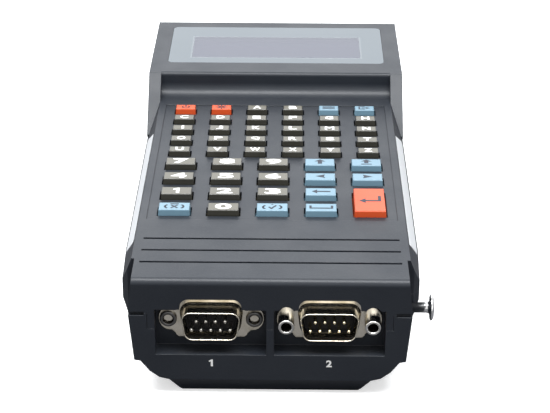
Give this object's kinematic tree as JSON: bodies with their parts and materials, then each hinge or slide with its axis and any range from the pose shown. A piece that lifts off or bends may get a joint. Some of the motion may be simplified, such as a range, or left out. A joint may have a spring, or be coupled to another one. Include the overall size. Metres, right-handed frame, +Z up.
{
  "type": "portable barcode data terminal",
  "caption": "Handheld data terminal with a display head, a raised-key letter and number keypad and two nine-pin ports in its front end.",
  "frame": {"origin": "on the flat underside of the belly, on the centre line, half way along the case", "axes": "+X to the user's right, +Y from the ports towards the display head, +Z up out of the keypad"},
  "size_m": [0.0926, 0.191, 0.046],
  "materials": {
    "case": "fine textured moulding",
    "window": "clear flat sheet",
    "display": "liquid crystal glass",
    "circuit_board": "solder mask",
    "key_rubber": "moulded silicone",
    "port_metal": "nickel plate",
    "stud_chrome": "polished",
    "screw_steel": "zinc plate",
    "cell_wrap": "plain sleeve",
    "key_dark": "moulded key",
    "key_blue": "moulded key",
    "key_orange": "moulded key"
  },
  "bodies": {
    "terminal": {"upper_case": "case", "lower_case": "case", "display_window": "window", "display_module": "display", "main_board": "circuit_board", "key_mat": "key_rubber", "serial_ports": "port_metal", "strap_stud": "stud_chrome", "case_screws": "screw_steel", "batteries": "cell_wrap"},
    "battery_lid": {"battery_lid": "case"},
    "key_function_1": {"key_function_1": "key_orange"},
    "key_function_2": {"key_function_2": "key_orange"},
    "key_a": {"key_a": "key_dark"},
    "key_b": {"key_b": "key_dark"},
    "key_menu": {"key_menu": "key_blue"},
    "key_exit": {"key_exit": "key_blue"},
    "key_c": {"key_c": "key_dark"},
    "key_d": {"key_d": "key_dark"},
    "key_e": {"key_e": "key_dark"},
    "key_f": {"key_f": "key_dark"},
    "key_g": {"key_g": "key_dark"},
    "key_h": {"key_h": "key_dark"},
    "key_i": {"key_i": "key_dark"},
    "key_j": {"key_j": "key_dark"},
    "key_k": {"key_k": "key_dark"},
    "key_l": {"key_l": "key_dark"},
    "key_m": {"key_m": "key_dark"},
    "key_n": {"key_n": "key_dark"},
    "key_o": {"key_o": "key_dark"},
    "key_p": {"key_p": "key_dark"},
    "key_q": {"key_q": "key_dark"},
    "key_r": {"key_r": "key_dark"},
    "key_s": {"key_s": "key_dark"},
    "key_t": {"key_t": "key_dark"},
    "key_u": {"key_u": "key_dark"},
    "key_v": {"key_v": "key_dark"},
    "key_w": {"key_w": "key_dark"},
    "key_x": {"key_x": "key_dark"},
    "key_y": {"key_y": "key_dark"},
    "key_z": {"key_z": "key_dark"},
    "key_7": {"key_7": "key_dark"},
    "key_8": {"key_8": "key_dark"},
    "key_9": {"key_9": "key_dark"},
    "key_shift": {"key_shift": "key_blue"},
    "key_caps": {"key_caps": "key_blue"},
    "key_4": {"key_4": "key_dark"},
    "key_5": {"key_5": "key_dark"},
    "key_6": {"key_6": "key_dark"},
    "key_left": {"key_left": "key_blue"},
    "key_right": {"key_right": "key_blue"},
    "key_1": {"key_1": "key_dark"},
    "key_2": {"key_2": "key_dark"},
    "key_3": {"key_3": "key_dark"},
    "key_backspace": {"key_backspace": "key_blue"},
    "key_no": {"key_no": "key_blue"},
    "key_0": {"key_0": "key_dark"},
    "key_yes": {"key_yes": "key_blue"},
    "key_space": {"key_space": "key_blue"},
    "key_enter": {"key_enter": "key_orange"}
  },
  "joints": [
    {"name": "battery_lid_hinge", "type": "hinge", "parent": "terminal", "child": "battery_lid", "pos_m": [0, -0.013, 0.0021], "axis": [1, 0, 0], "range_deg": [0, 90]},
    {"name": "key_function_1_press", "type": "slide", "parent": "terminal", "child": "key_function_1", "axis": [0, 0, 1], "range_m": [-0.0012, 0], "stiffness_N_per_m": 300, "springref_m": 0.0012},
    {"name": "key_function_2_press", "type": "slide", "parent": "terminal", "child": "key_function_2", "axis": [0, 0, 1], "range_m": [-0.0012, 0], "stiffness_N_per_m": 300, "springref_m": 0.0012},
    {"name": "key_a_press", "type": "slide", "parent": "terminal", "child": "key_a", "axis": [0, 0, 1], "range_m": [-0.0012, 0], "stiffness_N_per_m": 300, "springref_m": 0.0012},
    {"name": "key_b_press", "type": "slide", "parent": "terminal", "child": "key_b", "axis": [0, 0, 1], "range_m": [-0.0012, 0], "stiffness_N_per_m": 300, "springref_m": 0.0012},
    {"name": "key_menu_press", "type": "slide", "parent": "terminal", "child": "key_menu", "axis": [0, 0, 1], "range_m": [-0.0012, 0], "stiffness_N_per_m": 300, "springref_m": 0.0012},
    {"name": "key_exit_press", "type": "slide", "parent": "terminal", "child": "key_exit", "axis": [0, 0, 1], "range_m": [-0.0012, 0], "stiffness_N_per_m": 300, "springref_m": 0.0012},
    {"name": "key_c_press", "type": "slide", "parent": "terminal", "child": "key_c", "axis": [0, 0, 1], "range_m": [-0.0012, 0], "stiffness_N_per_m": 300, "springref_m": 0.0012},
    {"name": "key_d_press", "type": "slide", "parent": "terminal", "child": "key_d", "axis": [0, 0, 1], "range_m": [-0.0012, 0], "stiffness_N_per_m": 300, "springref_m": 0.0012},
    {"name": "key_e_press", "type": "slide", "parent": "terminal", "child": "key_e", "axis": [0, 0, 1], "range_m": [-0.0012, 0], "stiffness_N_per_m": 300, "springref_m": 0.0012},
    {"name": "key_f_press", "type": "slide", "parent": "terminal", "child": "key_f", "axis": [0, 0, 1], "range_m": [-0.0012, 0], "stiffness_N_per_m": 300, "springref_m": 0.0012},
    {"name": "key_g_press", "type": "slide", "parent": "terminal", "child": "key_g", "axis": [0, 0, 1], "range_m": [-0.0012, 0], "stiffness_N_per_m": 300, "springref_m": 0.0012},
    {"name": "key_h_press", "type": "slide", "parent": "terminal", "child": "key_h", "axis": [0, 0, 1], "range_m": [-0.0012, 0], "stiffness_N_per_m": 300, "springref_m": 0.0012},
    {"name": "key_i_press", "type": "slide", "parent": "terminal", "child": "key_i", "axis": [0, 0, 1], "range_m": [-0.0012, 0], "stiffness_N_per_m": 300, "springref_m": 0.0012},
    {"name": "key_j_press", "type": "slide", "parent": "terminal", "child": "key_j", "axis": [0, 0, 1], "range_m": [-0.0012, 0], "stiffness_N_per_m": 300, "springref_m": 0.0012},
    {"name": "key_k_press", "type": "slide", "parent": "terminal", "child": "key_k", "axis": [0, 0, 1], "range_m": [-0.0012, 0], "stiffness_N_per_m": 300, "springref_m": 0.0012},
    {"name": "key_l_press", "type": "slide", "parent": "terminal", "child": "key_l", "axis": [0, 0, 1], "range_m": [-0.0012, 0], "stiffness_N_per_m": 300, "springref_m": 0.0012},
    {"name": "key_m_press", "type": "slide", "parent": "terminal", "child": "key_m", "axis": [0, 0, 1], "range_m": [-0.0012, 0], "stiffness_N_per_m": 300, "springref_m": 0.0012},
    {"name": "key_n_press", "type": "slide", "parent": "terminal", "child": "key_n", "axis": [0, 0, 1], "range_m": [-0.0012, 0], "stiffness_N_per_m": 300, "springref_m": 0.0012},
    {"name": "key_o_press", "type": "slide", "parent": "terminal", "child": "key_o", "axis": [0, 0, 1], "range_m": [-0.0012, 0], "stiffness_N_per_m": 300, "springref_m": 0.0012},
    {"name": "key_p_press", "type": "slide", "parent": "terminal", "child": "key_p", "axis": [0, 0, 1], "range_m": [-0.0012, 0], "stiffness_N_per_m": 300, "springref_m": 0.0012},
    {"name": "key_q_press", "type": "slide", "parent": "terminal", "child": "key_q", "axis": [0, 0, 1], "range_m": [-0.0012, 0], "stiffness_N_per_m": 300, "springref_m": 0.0012},
    {"name": "key_r_press", "type": "slide", "parent": "terminal", "child": "key_r", "axis": [0, 0, 1], "range_m": [-0.0012, 0], "stiffness_N_per_m": 300, "springref_m": 0.0012},
    {"name": "key_s_press", "type": "slide", "parent": "terminal", "child": "key_s", "axis": [0, 0, 1], "range_m": [-0.0012, 0], "stiffness_N_per_m": 300, "springref_m": 0.0012},
    {"name": "key_t_press", "type": "slide", "parent": "terminal", "child": "key_t", "axis": [0, 0, 1], "range_m": [-0.0012, 0], "stiffness_N_per_m": 300, "springref_m": 0.0012},
    {"name": "key_u_press", "type": "slide", "parent": "terminal", "child": "key_u", "axis": [0, 0, 1], "range_m": [-0.0012, 0], "stiffness_N_per_m": 300, "springref_m": 0.0012},
    {"name": "key_v_press", "type": "slide", "parent": "terminal", "child": "key_v", "axis": [0, 0, 1], "range_m": [-0.0012, 0], "stiffness_N_per_m": 300, "springref_m": 0.0012},
    {"name": "key_w_press", "type": "slide", "parent": "terminal", "child": "key_w", "axis": [0, 0, 1], "range_m": [-0.0012, 0], "stiffness_N_per_m": 300, "springref_m": 0.0012},
    {"name": "key_x_press", "type": "slide", "parent": "terminal", "child": "key_x", "axis": [0, 0, 1], "range_m": [-0.0012, 0], "stiffness_N_per_m": 300, "springref_m": 0.0012},
    {"name": "key_y_press", "type": "slide", "parent": "terminal", "child": "key_y", "axis": [0, 0, 1], "range_m": [-0.0012, 0], "stiffness_N_per_m": 300, "springref_m": 0.0012},
    {"name": "key_z_press", "type": "slide", "parent": "terminal", "child": "key_z", "axis": [0, 0, 1], "range_m": [-0.0012, 0], "stiffness_N_per_m": 300, "springref_m": 0.0012},
    {"name": "key_7_press", "type": "slide", "parent": "terminal", "child": "key_7", "axis": [0, 0, 1], "range_m": [-0.0012, 0], "stiffness_N_per_m": 300, "springref_m": 0.0012},
    {"name": "key_8_press", "type": "slide", "parent": "terminal", "child": "key_8", "axis": [0, 0, 1], "range_m": [-0.0012, 0], "stiffness_N_per_m": 300, "springref_m": 0.0012},
    {"name": "key_9_press", "type": "slide", "parent": "terminal", "child": "key_9", "axis": [0, 0, 1], "range_m": [-0.0012, 0], "stiffness_N_per_m": 300, "springref_m": 0.0012},
    {"name": "key_shift_press", "type": "slide", "parent": "terminal", "child": "key_shift", "axis": [0, 0, 1], "range_m": [-0.0012, 0], "stiffness_N_per_m": 300, "springref_m": 0.0012},
    {"name": "key_caps_press", "type": "slide", "parent": "terminal", "child": "key_caps", "axis": [0, 0, 1], "range_m": [-0.0012, 0], "stiffness_N_per_m": 300, "springref_m": 0.0012},
    {"name": "key_4_press", "type": "slide", "parent": "terminal", "child": "key_4", "axis": [0, 0, 1], "range_m": [-0.0012, 0], "stiffness_N_per_m": 300, "springref_m": 0.0012},
    {"name": "key_5_press", "type": "slide", "parent": "terminal", "child": "key_5", "axis": [0, 0, 1], "range_m": [-0.0012, 0], "stiffness_N_per_m": 300, "springref_m": 0.0012},
    {"name": "key_6_press", "type": "slide", "parent": "terminal", "child": "key_6", "axis": [0, 0, 1], "range_m": [-0.0012, 0], "stiffness_N_per_m": 300, "springref_m": 0.0012},
    {"name": "key_left_press", "type": "slide", "parent": "terminal", "child": "key_left", "axis": [0, 0, 1], "range_m": [-0.0012, 0], "stiffness_N_per_m": 300, "springref_m": 0.0012},
    {"name": "key_right_press", "type": "slide", "parent": "terminal", "child": "key_right", "axis": [0, 0, 1], "range_m": [-0.0012, 0], "stiffness_N_per_m": 300, "springref_m": 0.0012},
    {"name": "key_1_press", "type": "slide", "parent": "terminal", "child": "key_1", "axis": [0, 0, 1], "range_m": [-0.0012, 0], "stiffness_N_per_m": 300, "springref_m": 0.0012},
    {"name": "key_2_press", "type": "slide", "parent": "terminal", "child": "key_2", "axis": [0, 0, 1], "range_m": [-0.0012, 0], "stiffness_N_per_m": 300, "springref_m": 0.0012},
    {"name": "key_3_press", "type": "slide", "parent": "terminal", "child": "key_3", "axis": [0, 0, 1], "range_m": [-0.0012, 0], "stiffness_N_per_m": 300, "springref_m": 0.0012},
    {"name": "key_backspace_press", "type": "slide", "parent": "terminal", "child": "key_backspace", "axis": [0, 0, 1], "range_m": [-0.0012, 0], "stiffness_N_per_m": 300, "springref_m": 0.0012},
    {"name": "key_no_press", "type": "slide", "parent": "terminal", "child": "key_no", "axis": [0, 0, 1], "range_m": [-0.0012, 0], "stiffness_N_per_m": 300, "springref_m": 0.0012},
    {"name": "key_0_press", "type": "slide", "parent": "terminal", "child": "key_0", "axis": [0, 0, 1], "range_m": [-0.0012, 0], "stiffness_N_per_m": 300, "springref_m": 0.0012},
    {"name": "key_yes_press", "type": "slide", "parent": "terminal", "child": "key_yes", "axis": [0, 0, 1], "range_m": [-0.0012, 0], "stiffness_N_per_m": 300, "springref_m": 0.0012},
    {"name": "key_space_press", "type": "slide", "parent": "terminal", "child": "key_space", "axis": [0, 0, 1], "range_m": [-0.0012, 0], "stiffness_N_per_m": 300, "springref_m": 0.0012},
    {"name": "key_enter_press", "type": "slide", "parent": "terminal", "child": "key_enter", "axis": [0, 0, 1], "range_m": [-0.0012, 0], "stiffness_N_per_m": 300, "springref_m": 0.0012}
  ]
}
